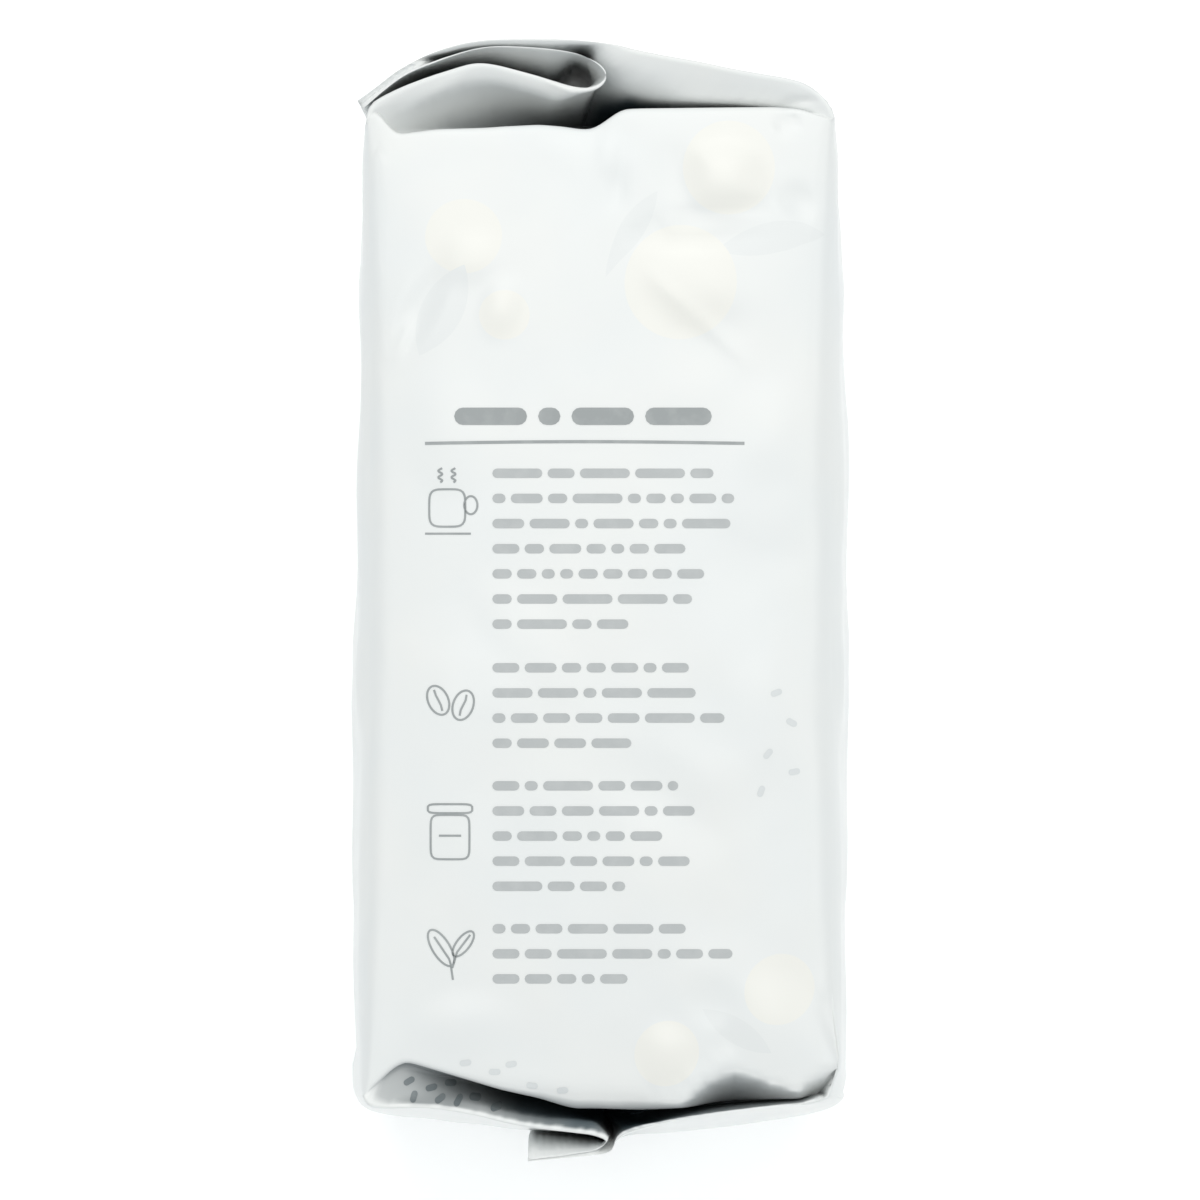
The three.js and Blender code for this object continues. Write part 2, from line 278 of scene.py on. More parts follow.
# Each end: the outlines of its left and right films and of the crease between them, the fold, dent,
# depth and softness of its folded-in triangle, the shoulders and the rest of its flap, how much film
# lies before the seal, and how far the sides swell at its corners.
TOP = {
    "left": outline(TOP_LEFT, 0.475, TOP_FILM), "right": outline(TOP_RIGHT, 0.43, TOP_FILM),
    "crease": outline(TOP_CREASE, 0, TOP_FILM), "fold": top_fold, "dent": lambda x, d: 0 * x,
    "deep": top_deep,
    "soft": lambda x: (1 - 0.75 * smooth(26, 32, x)) * (0.3 + 0.7 * smooth(-33.5, -29.5, x)),
    "shoulders": (top_left_shoulder, top_right_shoulder), "sink": top_sink, "seal": 61.0,
    "swell": {"left": LEFT_SWELL[-1][1], "right": RIGHT_SWELL[-1][1]},
}
BOTTOM = {
    "left": outline(BOTTOM_LEFT, 0.7, BOTTOM_FILM),
    "right": outline(BOTTOM_RIGHT, 0.645, BOTTOM_FILM),
    "crease": outline(BOTTOM_CREASE, 0, BOTTOM_FILM), "fold": bottom_fold,
    "dent": lambda x, d: drop(x, 0) * (1 - smooth(0, 24, d)),
    "deep": bottom_deep, "soft": lambda x: 0.3 + 0.7 * smooth(-32, -10, x),
    "shoulders": (bottom_left_shoulder, bottom_right_shoulder), "sink": bottom_sink, "seal": 38.0,
    "swell": {"left": LEFT_SWELL[0][1], "right": RIGHT_SWELL[0][1]},
}

SHOWN, RIGHT, HIDDEN, LEFT = range(4)
gusset_steps = from_fold(HALF, GUSSET_STEP)
gusset_columns = both_ways(gusset_steps, GUSSET)[:-1]
face_columns = both_ways(from_fold(MID, FACE_STEP), FACE)[:-1]
side_of = np.repeat([SHOWN, RIGHT, HIDDEN, LEFT], [len(gusset_columns), len(face_columns)] * 2)
place_of = np.concatenate([gusset_columns, face_columns, GUSSET - gusset_columns,
                           FACE - face_columns])
on_gusset = (side_of == SHOWN) | (side_of == HIDDEN)
across_share = np.select([on_gusset, side_of == RIGHT], [place_of / HALF - 1, 1], -1)

BEAD = 0.6  # width of the flat top of a folded edge
WIDEST_BEAD = 0.85  # at most this share of the way to the crease
BEND_SHARE = 0.8  # of a leg of the path, at most, that its bend takes up
BEND_POINTS = 12
TINY = 1e-9


def rounded_path(edge, shoulder, crease, radius, share, bead_width):
    """Points at shares of a path from an edge over a shoulder to a crease, rounded between."""
    toward = (crease - edge) * [1, 1, 0]
    reach = max(np.linalg.norm(toward), TINY)
    bead = edge + toward * min(WIDEST_BEAD, bead_width / reach)
    shoulder = bead + (shoulder - edge)
    first, second = shoulder - bead, crease - shoulder
    near = min(1, radius / max(np.linalg.norm(first), TINY)) * BEND_SHARE
    far = min(1, radius / max(np.linalg.norm(second), TINY)) * BEND_SHARE
    w = np.linspace(0, 1, BEND_POINTS)[:, None]
    start, end = shoulder - first * near, shoulder + second * far
    bend = (1 - w) ** 2 * start + 2 * w * (1 - w) * shoulder + w ** 2 * end
    path = np.vstack([edge, bead, bend, crease])
    length = np.concatenate([[0], np.cumsum(np.linalg.norm(np.diff(path, axis=0), axis=1))])
    at = share * length[-1]
    return np.column_stack([np.interp(at, length, path[:, k]) for k in range(3)])


SEAL_DEPTH = 0.35  # of the groove between the welded layers of a seal
CLOSES_BEFORE, CLOSES_AFTER = 3, 2  # film on both sides of a seal's edge, where its layers meet
TRIANGLE_BOW = 1.4
SWELL_FADE = 4  # film past the corners over which the sides' swelling fades


def end_row(end, t):
    """One row of film past the corners of a closed end, as x, y and z in millimetres."""
    row = np.zeros((len(place_of), 3))
    for side, name in ((RIGHT, "right"), (LEFT, "left")):
        on = side_of == side
        row[on, :2] = end[name](t)
        row[on, 2] = MID - place_of[on]
        out = end["swell"][name] * (1 - (row[on, 2] / MID) ** 2) * (1 - smooth(0, SWELL_FADE, t))
        row[on, 0] += out if name == "right" else -out
    apex = end["crease"](HALF)
    left_x, right_x = end["left"](0)[0], end["right"](0)[0]
    reach = min(t, HALF) / HALF
    weld = smooth(end["seal"] - CLOSES_BEFORE, end["seal"] + CLOSES_AFTER, t)

    def triangle(s, dented):
        x = mix(left_x, right_x, s / GUSSET)
        y = mix(end["fold"](x), end["deep"](x), reach ** TRIANGLE_BOW)
        y = mix(y, apex[1], smooth(0.85, 1, reach))
        depth = reach * HALF * end["soft"](x) + (end["dent"](x, reach * HALF) if dented else 0 * x)
        return np.stack([x + reach * (apex[0] - (left_x + right_x) / 2), y, MID - depth], -1)

    for side in (SHOWN, HIDDEN):
        on = np.flatnonzero(side_of == side)
        across = place_of[on]
        from_edge = np.minimum(across, GUSSET - across)
        if t < HALF:
            row[on] = triangle(across, side == SHOWN)
        for half, name, shoulder in ((across <= HALF, "left", end["shoulders"][0]),
                                     (across > HALF, "right", end["shoulders"][1])):
            hangs = half & (from_edge < t) if t < HALF else half
            if not hangs.any():
                continue
            edge = end[name](t)
            if t < HALF:
                crease = triangle(np.array(t if name == "left" else GUSSET - t), side == SHOWN)
            else:
                crease = np.array([*end["crease"](t), MID - mix(HALF, SEAL_DEPTH, weld)])
            step, depth, radius = shoulder(t, edge)
            along = np.array([*(edge + np.array(step) * (1 - weld)), MID - depth * (1 - weld)])
            share = from_edge[hangs] / min(t, HALF)
            bead = BEAD if name == "left" else BEAD * (1 - smooth(34, 38, t))
            row[on[hangs]] = rounded_path(np.array([*edge, MID]), along, crease, radius, share, bead)
        if side == HIDDEN:
            row[on, 2] *= -1
    row[:, :2] += end["sink"](t, row[:, 0], MID - np.abs(row[:, 2]))
    return row


CROWN = 2.8  # rise of the shown side's middle over its long edges
EDGE_RADIUS = 5.0
FOLD_RADIUS = 1.2
LOWER_HALF_WIDTH = 34.2
UPPER_HALF_WIDTH = 33.9
FULLER = 0.6  # half as much wider at the middle of the bag's length


def body_row(share, lower, upper):
    """One row round the full body, a share of the way from its lower corners to the upper ones."""
    full = math.sin(math.pi * share) ** 0.5
    radius = mix(FOLD_RADIUS, EDGE_RADIUS, full)
    level = mix(BODY_BOTTOM, BODY_TOP, share)
    swell = np.where(across_share < 0, np.interp(level, *np.transpose(LEFT_SWELL)),
                     np.interp(level, *np.transpose(RIGHT_SWELL)))
    half_width = mix(LOWER_HALF_WIDTH, UPPER_HALF_WIDTH, share) + FULLER * full
    straight = mix(lower, upper, share)
    height = np.select([side_of == SHOWN, side_of == HIDDEN], [MID, -MID], MID - place_of)
    flat = np.column_stack([half_width * across_share, height])
    inset = np.array([half_width, MID]) - radius
    core = np.clip(flat, -inset, inset)
    out = flat - core
    length = np.linalg.norm(out, axis=1)
    turned = length > 0
    flat[turned] = core[turned] + out[turned] / length[turned, None] * radius
    x = flat[:, 0] + swell * (flat[:, 0] / half_width) ** 3 * (1 - (flat[:, 1] / MID) ** 2)
    rise = 1 - (flat[:, 0] / half_width) ** 4
    crown = CROWN * full * rise * (np.maximum(flat[:, 1], 0) / MID) ** 4
    dent = np.where(side_of == SHOWN, drop(x, share * BODY), 0)
    return np.column_stack([x, straight[:, 1], flat[:, 1] + crown - dent])


BOTTOM_CROWN = 5.0  # how far the coffee swells the bottom out
CROWN_ENDS = -50  # level above which nothing of that swelling is left
SLACK_WIDTH = 40
CORNER_REACH = 9  # along the bag from the corner that stands out
CRUSH_LENGTH = 5
CORNER_DEPTH = 3  # down the side below that corner
REST = 1.5  # how far the hidden side bulges down to lie on the table
REST_BORDER = 4  # narrow strip along the long edges that stays clear of the table
REST_STEEP = 2.5


def settle(p, follows):
    """The settled coffee swells the bottom, and the hidden side lies flat on the table."""
    x, y, z = p[..., 0], p[..., 1], p[..., 2]
    slack = (1 - (z / MID) ** 2) * np.maximum(0, 1 - (x / SLACK_WIDTH) ** 4) * follows
    near = np.select([side_of == SHOWN, side_of == RIGHT], [1, np.exp(-place_of / CORNER_DEPTH)], 0)
    moved = (CORNER_OUT * hump(y, CORNER_LEVEL, CORNER_REACH)
             - CRUSHED_CORNER * np.clip((CORNER_LEVEL - y) / CRUSH_LENGTH, 0, 1))
    x = x + moved * near * smooth(28, 34, x)
    held = np.interp(x, *np.transpose(HELD))
    low = y - BOTTOM_CROWN * slack * held * (1 - smooth(BODY_BOTTOM, CROWN_ENDS, y))
    along = 1 - smooth(0.7, 1, np.abs(low) / BODY_TOP)
    under = np.maximum(0, 1 - (x / (HALF - REST_BORDER)) ** 4) * along
    sunk = z - REST * np.minimum(1, REST_STEEP * under) * smooth(MID / 2, MID, -z)
    return np.stack([x, low, sunk], -1)


NOSE_END = 39  # film past the upper corner, up to which the turn of the upper flap goes
NOSE_STEP = 0.42
FLAP_STEP = 0.9
TAIL_STEP = 0.5
top_steps = np.concatenate([gusset_steps, spread(HALF, NOSE_END, NOSE_STEP)[1:],
                            spread(NOSE_END, TOP_FILM, FLAP_STEP)[1:]])
bottom_steps = np.concatenate([gusset_steps, spread(HALF, BOTTOM_FILM, TAIL_STEP)[1:]])
body_steps = both_ways(from_fold(BODY / 2, BODY_STEP), BODY)[1:-1] / BODY
bottom_rows = [end_row(BOTTOM, t) for t in bottom_steps[::-1]]
top_rows = [end_row(TOP, t) for t in top_steps]
body_rows = [body_row(share, bottom_rows[-1], top_rows[0]) for share in body_steps]
film = np.array(bottom_rows + body_rows + top_rows)
film_length = np.concatenate([-bottom_steps[::-1], body_steps * BODY, BODY + top_steps])
film_width = np.concatenate([gusset_columns, GUSSET + face_columns, GUSSET + FACE + gusset_columns,
                             2 * GUSSET + FACE + face_columns])

# Dents and creases in the film of the shown side. Each is a shallow dome or hollow: its place, its
# two radii, its turn in degrees and its height. Then come creases: two ends, half width, height.
DOMES = [
    (17.9, 61.2, 7.6, 6.4, 0, 1.4), (11.0, 62.0, 4.6, 7.0, 25, -0.5),
    (29.0, 57.4, 4.6, 3.6, -30, -0.7), (14.0, 45.5, 9.5, 7.5, -20, 0.8),
    (-19.0, 49.4, 6.0, 4.8, 0, 0.6), (-14.3, 42.4, 4.0, 5.6, -12, 0.7),
    (-26.0, 42.0, 3.6, 9.5, -28, -0.8), (2.2, 64.5, 4.2, 5.0, 10, 0.6),
    (9.4, -65.5, 5.0, 5.6, 15, 0.9), (-20.0, -61.0, 9.0, 5.5, 10, 0.6),
    (25.0, -61.0, 7.0, 9.0, 20, 0.7), (16.5, -58.0, 6.0, 4.5, -35, -0.6),
    (-22.0, 25.0, 8.0, 12.0, 12, 0.5), (24.0, 20.0, 9.0, 14.0, -15, 0.6),
    (24.0, -20.0, 9.0, 15.0, 8, 0.5), (-24.0, -25.0, 8.0, 16.0, -8, 0.5),
]
CREASES = [
    ((3.6, 68.6), (2.2, 55.7), 1.5, -0.5), ((9.6, 55.2), (24.8, 57.0), 0.9, -0.5),
    ((3.8, 51.8), (9.5, 54.8), 1.4, -0.4), ((5.9, 51.4), (24.2, 53.2), 1.1, -0.4),
    ((6.5, 47.6), (22.1, 33.8), 1.2, 0.4), ((-30.2, 33.8), (-27.0, 41.0), 0.7, 0.4),
    ((11.0, -71.0), (18.6, -64.2), 1.0, 0.5), ((6.2, -69.6), (8.2, -71.4), 0.8, -0.5),
    ((8.2, -71.4), (12.9, -68.8), 0.8, -0.5), ((12.9, -68.8), (20.5, -61.8), 1.2, -0.5),
    ((31.6, -56.0), (33.9, -67.0), 1.3, -0.7), ((25.4, 71.6), (31.6, 72.4), 0.7, -0.6),
    ((25.2, 68.2), (29.0, 70.0), 1.0, -0.5), ((-32.0, 65.0), (-31.0, 69.0), 0.7, -0.6),
    ((-30.6, 69.4), (-18.8, 76.4), 0.7, 0.4), ((-7.9, 74.9), (-3.6, 73.3), 0.35, 0.35),
    ((-3.6, 73.3), (0.2, 74.2), 0.35, 0.35),
]
DOME_SHARE = 0.8  # of the heights above
CREASE_SHARE = 0.9
# Random dimples: their seed, their count, their radii and their height.
BEANS = (11, 70, (5, 13), 0.36)
SIDE_WAVES = (23, 90, (5, 16), 0.42)
BORDER = 5  # beside the long edges, over which the dents fade out
END_BORDER = 6


def dome(x, y, place_x, place_y, wide, high, turn, height):
    c, s = math.cos(math.radians(turn)), math.sin(math.radians(turn))
    u = ((x - place_x) * c + (y - place_y) * s) / wide
    v = ((y - place_y) * c - (x - place_x) * s) / high
    return height * np.maximum(0, 1 - u ** 2 - v ** 2) ** 2


def crease(x, y, start, end, half_width, height):
    along = np.subtract(end, start)
    length = math.hypot(*along)
    share = ((x - start[0]) * along[0] + (y - start[1]) * along[1]) / length ** 2
    away = np.abs((x - start[0]) * along[1] - (y - start[1]) * along[0]) / length
    ends = smooth(-0.1, 0.3, share) * (1 - smooth(0.7, 1.1, share))
    return height * ends * np.exp(-(away / half_width) ** 1.5)


def dimples(u, v, wide, long, seed, count, radii, height):
    """Shallow random domes and hollows where the film lies on the coffee beans."""
    random.seed(seed)
    total = 0 * u
    for _ in range(count):
        place = random.uniform(0, wide), random.uniform(0, long)
        size = random.uniform(*radii), random.uniform(*radii) * 1.5
        total += dome(u, v, *place, *size, random.uniform(-70, 70), random.uniform(-1, 1) * height)
    return total


x, y = film[..., 0], film[..., 1]
whole = np.where(on_gusset, GUSSET, FACE)
inside = smooth(0, BORDER, place_of) * smooth(0, BORDER, whole - place_of)
within = smooth(0, END_BORDER, film_length) * smooth(0, END_BORDER, BODY - film_length)
loose = inside[None, :] * within[:, None]
across, along = place_of[None, :] + 0 * y, film_length[:, None] + 0 * y
relief = DOME_SHARE * sum(dome(x, y, *d) for d in DOMES)
beans = dimples(across, along, FACE, BODY, *BEANS)
sharp = CREASE_SHARE * sum(crease(x, y, *c) for c in CREASES) * (np.abs(x) < UPPER_HALF_WIDTH)
film[..., 2] += np.where(side_of == SHOWN, (relief + beans) * loose + sharp, 0)
waves = dimples(across, along, FACE, BODY, *SIDE_WAVES)
outward = np.select([side_of == RIGHT, side_of == LEFT], [1, -1], 0)
film[..., 0] += outward * (waves + beans) * loose

depth = MID - np.abs(film[..., 2])
in_flap = np.concatenate([smooth(24, HALF, bottom_steps[::-1]), 0 * body_steps, 0 * top_steps])
follows = np.where(side_of[None, :] == SHOWN, in_flap[:, None], 1)
film = settle(film, follows)

# Deep in a fold the film is darkened by painted shade. The share of painted shade at each point
# grows with its depth and is kept for the material. Each list gives the place across, the most
# painted shade, from and to which depth it grows, and for the bottom also its share at the fold's
# rim.
TOP_SHADE = [(-34, 0.88, 4, 44), (-22, 0.83, 2, 31), (-16, 0.6, 3, 34), (-8, 0.42, 5, 38),
             (-3, 0.7, 8, 42), (0, 1, 6, 24), (4, 1, 4, 14), (24, 1, 5, 14), (34, 1, 8, 30)]
BOTTOM_SHADE = [(-34, 0.45, 0.2, 3, 0.95), (-26, 0.55, 0.3, 3, 0.95), (-21.6, 0.62, 0.3, 3, 0.9),
                (-17.3, 0.6, 0.5, 4, 0.7), (-11.5, 0.94, 0.6, 5, 0.66), (-3, 1, 0.8, 6, 0.95),
                (5, 1, 0.8, 5, 0.85), (14, 0.84, 0.8, 5, 0.9), (24, 0.68, 0.9, 6, 0.9),
                (34, 0.4, 3, 14, 0.9)]
past_end = np.concatenate([bottom_steps[::-1], 0 * body_steps, top_steps])[:, None]
at_top = film_length[:, None] > BODY / 2
strength, low_end, high_end = (np.where(at_top, np.interp(x, *np.transpose(TOP_SHADE)[[0, k]]),
                                        np.interp(x, *np.transpose(BOTTOM_SHADE)[[0, k]]))
                               for k in (1, 2, 3))
at_rim = np.interp(x, *np.transpose(BOTTOM_SHADE)[[0, 4]])
from_rim = np.minimum(place_of, GUSSET - place_of)
deeper = smooth(0, 1, (depth - low_end) / (high_end - low_end))
# The most painted shade elsewhere: all over the upper fold, in the lower tail, in the pushed-in
# film, in the open loop of the upper flap and in the slot behind it.
LEAST = 0.06
IN_TAIL = 0.25
IN_PUSHED = 0.55
IN_LOOP = 0.7
IN_SLOT = 0.4
upper_end = np.maximum(strength * deeper, LEAST * smooth(0.5, 3, depth))
lower_end = (strength * (at_rim + (1 - at_rim) * deeper) * smooth(0.1, 1.2, from_rim)
             * smooth(0, 3, past_end) * (1 - smooth(34, 38, past_end)))
in_gusset = np.where(at_top, upper_end, lower_end) * on_gusset * (past_end > 0)
in_tail = IN_TAIL * smooth(28, 36, past_end) * (side_of != SHOWN) * inside * ~at_top
in_pushed = IN_PUSHED * smooth(2, 14, depth) * (side_of == SHOWN) * (past_end == 0)
loop = smooth(8, 16, past_end) * (1 - smooth(54, 62, past_end)) * at_top
in_loop = IN_LOOP * smooth(4, 34, np.minimum(place_of, FACE - place_of)) * (side_of == LEFT) * loop
in_slot = (IN_SLOT * smooth(0.8, 3, depth) * on_gusset * (place_of > HALF) * at_top
           * smooth(37, 41, past_end))
fold_shade = np.maximum.reduce([in_gusset, in_pushed, in_loop, in_slot, in_tail])
columns, rows = len(place_of), len(film)


def deselect():
    for o in bpy.context.selected_objects:
        o.select_set(False)


# The flat web is a grid of film, whose last column is the lap seam's other side.
deselect()
bpy.ops.mesh.primitive_grid_add(x_subdivisions=columns, y_subdivisions=rows - 1, size=1)
bag = bpy.context.object
bag.name = "film_bag"
wrapped = np.concatenate([film, film[:, :1]], axis=1)
wrapped[..., 1] += MIDDLE_UP
wrapped[..., 2] += MID + REST
bag.data.vertices.foreach_set("co", (wrapped * MM).astype(np.float32).ravel())
web = np.stack(np.meshgrid(np.append(film_width, 2 * (GUSSET + FACE)), film_length), -1) * MM
corners = np.zeros(len(bag.data.loops), int)
bag.data.loops.foreach_get("vertex_index", corners)
bag.data.uv_layers[0].data.foreach_set("uv", web.reshape(-1, 2)[corners].astype(np.float32).ravel())


def modify(piece, kind, **settings):
    """Adds one modifier to the piece and applies it."""
    bpy.context.view_layer.objects.active = piece
    modifier = piece.modifiers.new(kind.lower(), kind)
    for key, value in settings.items():
        setattr(modifier, key, value)
    bpy.ops.object.modifier_apply(modifier=modifier.name)


# Each square is split along the diagonal crease that it lies beside.
rising = (side_of == SHOWN) | (side_of == RIGHT)
across_of = np.where(rising, place_of, whole - place_of)
inward = across_of < whole / 2
past_bottom = np.arange(rows - 1) >= len(bottom_steps)
first_corner = (inward[None, :] == past_bottom[:, None]).ravel()
for method in ("FIXED", "FIXED_ALTERNATE"):
    bpy.ops.object.mode_set(mode="EDIT")
    bpy.ops.mesh.select_mode(type="FACE")
    bpy.ops.mesh.select_all(action="DESELECT")
    shape = bmesh.from_edit_mesh(bag.data)
    if method == "FIXED":
        for face, chosen in zip(shape.faces, first_corner):
            face.select = bool(chosen)
    else:
        for face in shape.faces:
            face.select = len(face.verts) == 4
    bmesh.update_edit_mesh(bag.data)
    bpy.ops.mesh.quads_convert_to_tris(quad_method=method, ngon_method="BEAUTY")
    bpy.ops.object.mode_set(mode="OBJECT")

# The seam is merged, and each cut end of the tube is welded shut.
SAME_PLACE = 1e-7
bpy.ops.object.mode_set(mode="EDIT")
bpy.ops.mesh.select_mode(type="VERT")
bpy.ops.mesh.select_all(action="SELECT")
bpy.ops.mesh.remove_doubles(threshold=SAME_PLACE)
for at_lower_end in (True, False):
    bpy.ops.mesh.select_all(action="DESELECT")
    bpy.ops.mesh.select_non_manifold(extend=False, use_wire=False, use_multi_face=False,
                                     use_non_contiguous=False, use_verts=False)
    shape = bmesh.from_edit_mesh(bag.data)
    for edge in shape.edges:
        edge.select = edge.select and (edge.verts[0].co.y < MIDDLE_UP * MM) == at_lower_end
    bmesh.update_edit_mesh(bag.data)
    bpy.ops.mesh.edge_face_add()
    bpy.ops.mesh.quads_convert_to_tris(quad_method="BEAUTY", ngon_method="BEAUTY")
bpy.ops.mesh.select_all(action="SELECT")
bpy.ops.mesh.normals_make_consistent(inside=False)
bpy.ops.object.mode_set(mode="OBJECT")
shade = bag.data.attributes.new("fold_shade", "FLOAT", "POINT")
shade.data.foreach_set("value", fold_shade.astype(np.float32).ravel())

# Folds are turned round a small radius, and the corners of the bag are rounder.
FOLD_WIDTH = 1.3
FLAP_FOLD_SHARE = 0.1  # the flaps' folds keep nearly all of their crispness
CORNER_SIZE = 6
CORNER_RAMP = 3
FOLD_TIMES = 4
CORNER_TIMES = 12
past_corner = np.concatenate([bottom_steps[::-1], np.minimum(body_steps, 1 - body_steps) * BODY,
                              top_steps])
on_fold = (np.clip(FOLD_WIDTH - across_of, 0, 1) * np.where(past_end == 0, 1, FLAP_FOLD_SHARE)
           + np.clip(FOLD_WIDTH - past_corner, 0, 1)[:, None] * (side_of == SHOWN))
to_corner = np.hypot(past_corner[:, None], across_of[None, :])
on_corner = np.clip((CORNER_SIZE - to_corner) / CORNER_RAMP, 0, 1)


def smooth_where(piece, name, weights, times):
    """Smooths the piece this many times, by weights in tenths."""
    group = piece.vertex_groups.new(name=name)
    tenths = np.round(np.clip(weights, 0, 1).ravel(), 1)
    for level in np.unique(tenths):
        if level > 0:
            group.add(np.flatnonzero(tenths == level).tolist(), float(level), "REPLACE")
    modify(piece, "SMOOTH", factor=0.5, iterations=times, vertex_group=name)


smooth_where(bag, "folds", on_fold, FOLD_TIMES)
smooth_where(bag, "corners", on_corner, CORNER_TIMES)


def linear(hex_colour):
    """An sRGB hex colour as linear values."""
    parts = [int(hex_colour[i:i + 2], 16) / 255 for i in (0, 2, 4)]
    return (*[c / 12.92 if c <= 0.04045 else ((c + 0.055) / 1.055) ** 2.4 for c in parts], 1)


def node(tree, kind, settings, links):
    """Adds one node, with its settings and the links to its inputs."""
    made = tree.nodes.new(kind)
    for key, value in settings.items():
        if isinstance(key, int) or key in made.inputs:
            made.inputs[key].default_value = value
        else:
            setattr(made, key, value)
    for key, source in links.items():
        tree.links.new(source, made.inputs[key])
    return made


# Laminated film of white polyethylene under a clear polyester skin, printed by roller and semi-gloss.
# It shows slightly uneven whites, a fine orange peel, soft creases about a centimetre apart and a
# crimp where the ends are heat-sealed, and painted shade turns it blue-grey deep in the folds.
COOL_WHITE_HEX = "e2e5e5"
WARM_WHITE_HEX = "e4e6e5"
# The blue-grey of the painted shade in deep folds.
PAINTED_SHADE_HEX = "48565d"
CLOUD_SIZE = 22 * MM
HANDLED_SIZE = 9 * MM  # of the places where handling has dulled the gloss
CREASE_SIZE = 11 * MM
CREASE_DEPTH = 0.6 * MM
PEEL_SIZE = 1.1 * MM
PEEL_DEPTH = 0.03 * MM
CRIMP_PITCH = MM
CRIMP_DEPTH = 0.1 * MM
GLOSSIEST, DULLEST = 0.29, 0.38  # roughness
film_white = bpy.data.materials.new("white_laminated_film")
film_white.use_nodes = True
tree = film_white.node_tree
shader = tree.nodes["Principled BSDF"]
flat_film = node(tree, "ShaderNodeUVMap", {"uv_map": "UVMap"}, {})
on_film = flat_film.outputs["UV"]
clouds = node(tree, "ShaderNodeTexNoise", {"Scale": 1 / CLOUD_SIZE, "Detail": 2.5},
              {"Vector": on_film})
spread_out = node(tree, "ShaderNodeMapRange", {"From Min": 0.38, "From Max": 0.62},
                  {"Value": clouds.outputs["Fac"]})
white = node(tree, "ShaderNodeMix", {"data_type": "RGBA", 6: linear(COOL_WHITE_HEX),
                                     7: linear(WARM_WHITE_HEX)}, {0: spread_out.outputs["Result"]})

# Very pale fields are painted on the white first, as faint print and as painted light: the cream
# discs are painted highlights where the film's domes catch the light, and the pale grey leaves are
# painted darker reflection bands beside them. Their places on the shown side and sizes are in
# millimetres. Each field is where all its circles overlap.
CREAM_PRINT_AND_HIGHLIGHT_HEX = "e7e7e2"
PALE_GREY_PRINT_AND_REFLECTION_HEX = "dfe2e2"


def leaf(x, y, length, width, turn):
    """The two circles that overlap in a leaf of this length and width."""
    radius = (length ** 2 / 4 + width ** 2 / 4) / width
    a = math.radians(turn)
    aside = np.array([-math.sin(a), math.cos(a)]) * (radius - width / 2)
    return [(x + aside[0], y + aside[1], radius), (x - aside[0], y - aside[1], radius)]


PRINT_AND_HIGHLIGHT_FIELDS = [
    ([(18.5, 60.5, 6.6)], CREAM_PRINT_AND_HIGHLIGHT_HEX), (leaf(24.5, 50.5, 16, 4.4, 12), PALE_GREY_PRINT_AND_REFLECTION_HEX),
    ([(11.5, 44.5, 8.0)], CREAM_PRINT_AND_HIGHLIGHT_HEX), (leaf(4.5, 52.0, 13, 3.6, 55), PALE_GREY_PRINT_AND_REFLECTION_HEX),
    ([(-19.5, 53.0, 5.5)], CREAM_PRINT_AND_HIGHLIGHT_HEX), (leaf(-22.5, 42.0, 15, 6.0, 65), PALE_GREY_PRINT_AND_REFLECTION_HEX),
    ([(-13.6, 41.5, 3.6)], CREAM_PRINT_AND_HIGHLIGHT_HEX), ([(9.5, -63.5, 4.6)], CREAM_PRINT_AND_HIGHLIGHT_HEX),
    (leaf(19.5, -61.0, 12, 3.4, -35), PALE_GREY_PRINT_AND_REFLECTION_HEX), ([(25.5, -55.5, 5.0)], CREAM_PRINT_AND_HIGHLIGHT_HEX),
]
print_and_highlight_colour = white.outputs[2]
for circles, hex_colour in PRINT_AND_HIGHLIGHT_FIELDS:
    shares = []
    for x_of, y_of, radius in circles:
        centre = ((x_of + HALF) * MM, (y_of - BODY_BOTTOM) * MM, 0)
        away = node(tree, "ShaderNodeVectorMath", {"operation": "DISTANCE", 1: centre}, {0: on_film})
        shares.append(node(tree, "ShaderNodeMath", {"operation": "LESS_THAN", 1: radius * MM},
                           {0: away.outputs["Value"]}))
    both = node(tree, "ShaderNodeMath", {"operation": "MINIMUM"},
                {0: shares[0].outputs[0], 1: shares[-1].outputs[0]})
    field = node(tree, "ShaderNodeMix", {"data_type": "RGBA", 7: linear(hex_colour)},
                 {0: both.outputs[0], 6: print_and_highlight_colour})
    print_and_highlight_colour = field.outputs[2]
# Painted shade: by the fold_shade share at each point, the colour goes over to the blue-grey of deep
# folds.
deep = node(tree, "ShaderNodeAttribute", {"attribute_name": "fold_shade"}, {})
colour = node(tree, "ShaderNodeMix", {"data_type": "RGBA", 7: linear(PAINTED_SHADE_HEX)},
              {0: deep.outputs["Fac"], 6: print_and_highlight_colour})
tree.links.new(colour.outputs[2], shader.inputs["Base Color"])
handled = node(tree, "ShaderNodeTexNoise", {"Scale": 1 / HANDLED_SIZE, "Detail": 3.0},
               {"Vector": on_film})
gloss = node(tree, "ShaderNodeMapRange", {"From Min": 0.3, "From Max": 0.7, "To Min": GLOSSIEST,
                                          "To Max": DULLEST}, {"Value": handled.outputs["Fac"]})
tree.links.new(gloss.outputs["Result"], shader.inputs["Roughness"])
shader.inputs["IOR"].default_value = 1.5
soft = node(tree, "ShaderNodeTexNoise", {"Scale": 1 / CREASE_SIZE, "Detail": 1.0},
            {"Vector": on_film})
creased = node(tree, "ShaderNodeBump", {"Strength": 0.3, "Distance": CREASE_DEPTH},
               {"Height": soft.outputs["Fac"]})
peel = node(tree, "ShaderNodeTexNoise", {"Scale": 1 / PEEL_SIZE, "Detail": 1.0},
            {"Vector": on_film})
